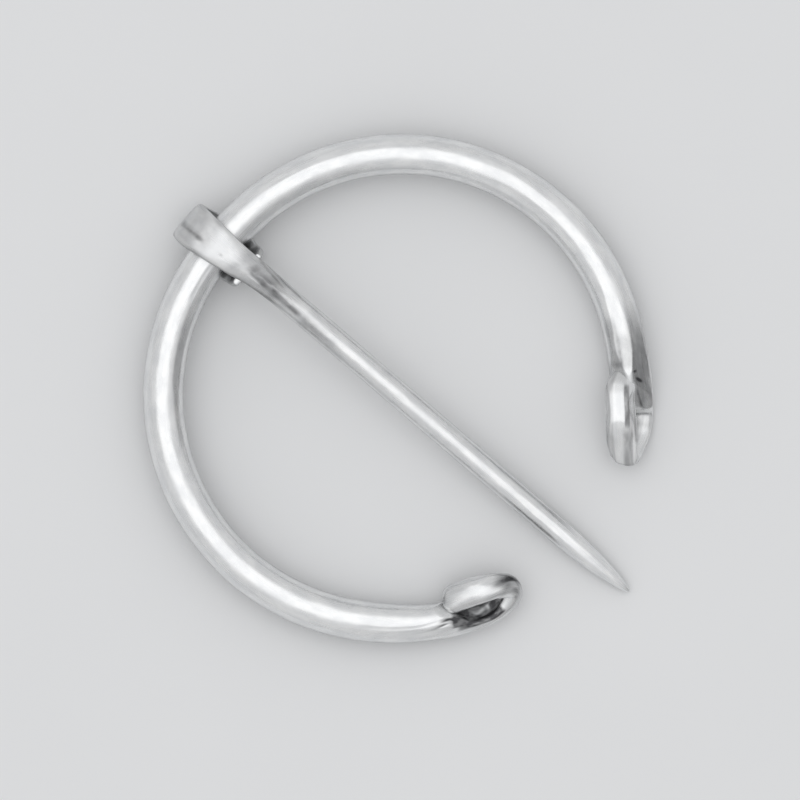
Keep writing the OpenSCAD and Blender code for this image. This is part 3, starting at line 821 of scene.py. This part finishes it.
def drawn_out_noise(tree, flow, place, look):
    """Noise on the flow along the metal, with the length scaled by how much it is drawn out."""
    drawn_out, scale, detail = look
    mapping = node(
        tree, "ShaderNodeMapping", (place[0] - 200, place[1]), Vector=flow, Scale=(drawn_out, 1, 1)
    )
    noise = node(
        tree, "ShaderNodeTexNoise", place,
        Vector=mapping.outputs["Vector"], Scale=scale, Detail=detail, Roughness=FINE_SHARE,
    )
    return noise.outputs["Fac"]


def graded(tree, value, place, low, high, to_low, to_high):
    """The value carried from one range to another, smoothly and held at the ends."""
    grade = node(
        tree, "ShaderNodeMapRange", place, interpolation_type="SMOOTHSTEP",
        Value=value, From_Min=low, From_Max=high, To_Min=to_low, To_Max=to_high,
    )
    return grade.outputs["Result"]


def mixed(tree, place, factor, a, b, blend="MIX", kind="RGBA"):
    """From a to b by the factor, or a times b where the blend is MULTIPLY."""
    mix = node(
        tree, "ShaderNodeMix", place, data_type=kind, blend_type=blend, Factor=factor, A=a, B=b
    )
    return mix.outputs["Result"]


def reckoned(tree, place, operation, *numbers, clamp=False):
    """What the operation makes of the numbers, each a plain value or an output."""
    result = node(tree, "ShaderNodeMath", place, *numbers, operation=operation, use_clamp=clamp)
    return result.outputs["Value"]


def bumped(tree, height, place, distance, **before):
    """A bump of that height in millimetres, on top of an earlier one given as Normal."""
    bump = node(
        tree, "ShaderNodeBump", place, Height=height, Strength=1.0, Distance=distance * MM, **before
    )
    return bump.outputs["Normal"]


def polished_silver(name):
    """Hand-polished silver: satin metal with planishing marks, cloudy patches, strokes of the polish
    along the piece and fine scratches. Painted shade makes it darker on the sides and underneath, and it
    is darkened by tarnish in the hollows and by painted shade and painted dark reflections."""
    material = bpy.data.materials.new(name)
    material.use_nodes = True
    tree = material.node_tree
    tree.nodes.clear()
    flow = node(tree, "ShaderNodeAttribute", (-1400, 200), attribute_name="flow").outputs["Vector"]
    tarnish_and_shade = node(tree, "ShaderNodeAttribute", (-1400, -400), attribute_name="tarnish_and_shade").outputs["Fac"]
    up = node(tree, "ShaderNodeAttribute", (-1400, -700), attribute_name="up").outputs["Fac"]

    planishing = drawn_out_noise(tree, flow, (-1000, 600), PLANISHING)
    polish = drawn_out_noise(tree, flow, (-1000, 300), POLISH)
    scratches = drawn_out_noise(tree, flow, (-1000, 0), SCRATCHES)
    clouds = drawn_out_noise(tree, flow, (-1000, -300), CLOUDS)
    blotches = drawn_out_noise(tree, flow, (-1000, -600), BLOTCHES)

    # tarnish and painted shade from the attribute, kept where the blotches are
    patchy = graded(tree, blotches, (-900, -460), *PATCHY)
    depth = reckoned(tree, (-760, -400), "MULTIPLY", tarnish_and_shade, patchy, clamp=True)
    cloudy = graded(tree, clouds, (-760, 300), *CLOUDY)
    streaks = graded(tree, polish, (-560, 560), *STREAKED)
    painted_side_shade = graded(tree, up, (-560, -700), *SIDE_SHADE)
    colour = mixed(tree, (-560, 420), cloudy, DULL_SILVER, BRIGHT_SILVER)
    colour = mixed(tree, (-460, 520), 1.0, colour, streaks, "MULTIPLY")
    # painted shade on the sides and underneath
    colour = mixed(tree, (-400, 420), 1.0, colour, painted_side_shade, "MULTIPLY")
    colour = mixed(tree, (-300, 300), depth, colour, DARK_TARNISH_AND_SHADE)

    satin = graded(tree, polish, (-560, 60), *SATIN)
    roughness = reckoned(tree, (-360, 60), "MULTIPLY_ADD", depth, TARNISH_AND_SHADE_ROUGH, satin)

    normal = bumped(tree, planishing, (-560, 700), PLANISHING_H)
    normal = bumped(tree, polish, (-400, 700), POLISH_H, Normal=normal)
    normal = bumped(tree, scratches, (-240, 700), SCRATCHES_H, Normal=normal)

    shader = node(
        tree, "ShaderNodeBsdfPrincipled", (0, 200),
        Metallic=1.0, Base_Color=colour, Roughness=roughness, Normal=normal,
    )
    node(tree, "ShaderNodeOutputMaterial", (300, 200), Surface=shader.outputs["BSDF"])
    return material


# Floor, light and camera

FLOOR_SIZE = 6.0
DARK_CARD = (0.83, 0.835, 0.84, 1)
PALE_CARD = (0.85, 0.855, 0.86, 1)
CARD_ROUGHNESS = 0.8
MOTTLE_SCALE, MOTTLE_DETAIL = 60.0, 3.0


def pale_floor():
    """A wide flat square of pale card under the brooch, with a very faint mottle."""
    edge = FLOOR_SIZE / 2
    mesh = bpy.data.meshes.new("floor")
    corners = [(-edge, -edge, 0), (edge, -edge, 0), (edge, edge, 0), (-edge, edge, 0)]
    mesh.from_pydata(corners, [], [(0, 1, 2, 3)])
    floor = bpy.data.objects.new("floor", mesh)
    bpy.context.scene.collection.objects.link(floor)
    material = bpy.data.materials.new("pale_card")
    material.use_nodes = True
    tree = material.node_tree
    shader = tree.nodes["Principled BSDF"]
    shader.inputs["Roughness"].default_value = CARD_ROUGHNESS
    place = node(tree, "ShaderNodeTexCoord", (-800, 0)).outputs["Object"]
    mottle = node(
        tree, "ShaderNodeTexNoise", (-600, 0), Vector=place, Scale=MOTTLE_SCALE, Detail=MOTTLE_DETAIL
    )
    card = mixed(tree, (-300, 0), mottle.outputs["Fac"], DARK_CARD, PALE_CARD)
    tree.links.new(card, shader.inputs["Base Color"])
    mesh.materials.append(material)


# Brightness of the tent by the height of the ray, the sine of its rise: from, to, and the brightness there
WALLS = (-0.05, 0.5, 0.645, 0.705)
ROOF = (0.6, 0.9, 0, 0.08)

# Dark openings in the tent, in degrees: turn about the vertical, rise over the floor, how far the full
# dimness reaches, where it ends, and the share of the light that is left
OPENINGS = ((0, 8, 12, 52, 0.66), (36, 9, 8, 20, 0.5))
TENT_WHITE = (0.985, 0.99, 1.0, 1)
TENT_SEEN = 0.62  # brightness where the camera sees past the floor

# The soft box over the brooch, in metres and watts
LAMP_SIZE, LAMP_POWER = 1.25, 1.62
LAMP_X, LAMP_Z = -0.17, 0.95


def studio_light():
    """Light from all round as in a white tent: brightest overhead, dim at the foot of the walls, and
    with dark openings low down on the side that the pin points to."""
    world = bpy.data.worlds.new("tent")
    bpy.context.scene.world = world
    world.use_nodes = True
    tree = world.node_tree
    ray = node(tree, "ShaderNodeTexCoord", (-1200, 0)).outputs["Generated"]
    height = node(tree, "ShaderNodeSeparateXYZ", (-1000, 0), Vector=ray).outputs["Z"]
    walls = graded(tree, height, (-800, 200), *WALLS)
    roof = graded(tree, height, (-800, -100), *ROOF)
    lit = reckoned(tree, (-560, 100), "ADD", walls, roof)
    for turn, rise, inner, outer, left in OPENINGS:
        out, up = turned(rise)
        towards = (*(turned(turn) * out), up)
        near = node(
            tree, "ShaderNodeVectorMath", (-1000, -400 - turn * 4), ray, towards, operation="DOT_PRODUCT"
        )
        far, close = turned(outer)[0], turned(inner)[0]
        shade = graded(tree, near.outputs["Value"], (-800, -400 - turn * 4), far, close, 1, left)
        lit = reckoned(tree, (-380, -turn * 4), "MULTIPLY", lit, shade)
    seen = node(tree, "ShaderNodeLightPath", (-560, -300)).outputs["Is Camera Ray"]
    background = tree.nodes["Background"]
    background.inputs["Color"].default_value = TENT_WHITE
    strength = mixed(tree, (-200, 0), seen, lit, TENT_SEEN, kind="FLOAT")
    tree.links.new(strength, background.inputs["Strength"])

    lamp = bpy.data.lights.new("soft_box", "AREA")
    lamp.shape = "DISK"
    lamp.size = LAMP_SIZE
    lamp.energy = LAMP_POWER
    box = bpy.data.objects.new("soft_box", lamp)
    box.location = (LAMP_X, 0, LAMP_Z)
    box.rotation_euler = (0, math.atan2(LAMP_X, LAMP_Z), 0)
    bpy.context.scene.collection.objects.link(box)


# The photograph looks straight down, 64 mm across at the middle of the hoop's height, with the pin
# running down to the right at 40.5 degrees
VIEW_WIDTH = 64 * MM
VIEW_MIDDLE = (-0.717 * MM, -0.584 * MM, 2.2 * MM)
VIEW_TURN = 40.5
VIEW_DISTANCE = 0.6
SENSOR_WIDTH = 36
NEAREST, FARTHEST = 0.01, 10  # what the camera sees, in metres


def overhead_camera():
    """A camera straight above the middle of the view, whose lens takes in the view's width there."""
    data = bpy.data.cameras.new("overhead")
    data.sensor_width = SENSOR_WIDTH
    data.lens = SENSOR_WIDTH * VIEW_DISTANCE / VIEW_WIDTH
    data.clip_start, data.clip_end = NEAREST, FARTHEST
    camera = bpy.data.objects.new("overhead", data)
    x, y, z = VIEW_MIDDLE
    camera.location = (x, y, z + VIEW_DISTANCE)
    camera.rotation_euler = (0, 0, math.radians(VIEW_TURN))
    bpy.context.scene.collection.objects.link(camera)
    bpy.context.scene.camera = camera


for piece, body, slot in ((make_hoop(), "hoop", "hoop_silver"), (make_pin(), "pin", "pin_silver")):
    piece.data.materials.append(polished_silver(slot))
    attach(piece, body)
    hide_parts(body)

pale_floor()
studio_light()
overhead_camera()
bpy.context.scene.view_settings.view_transform = "Standard"
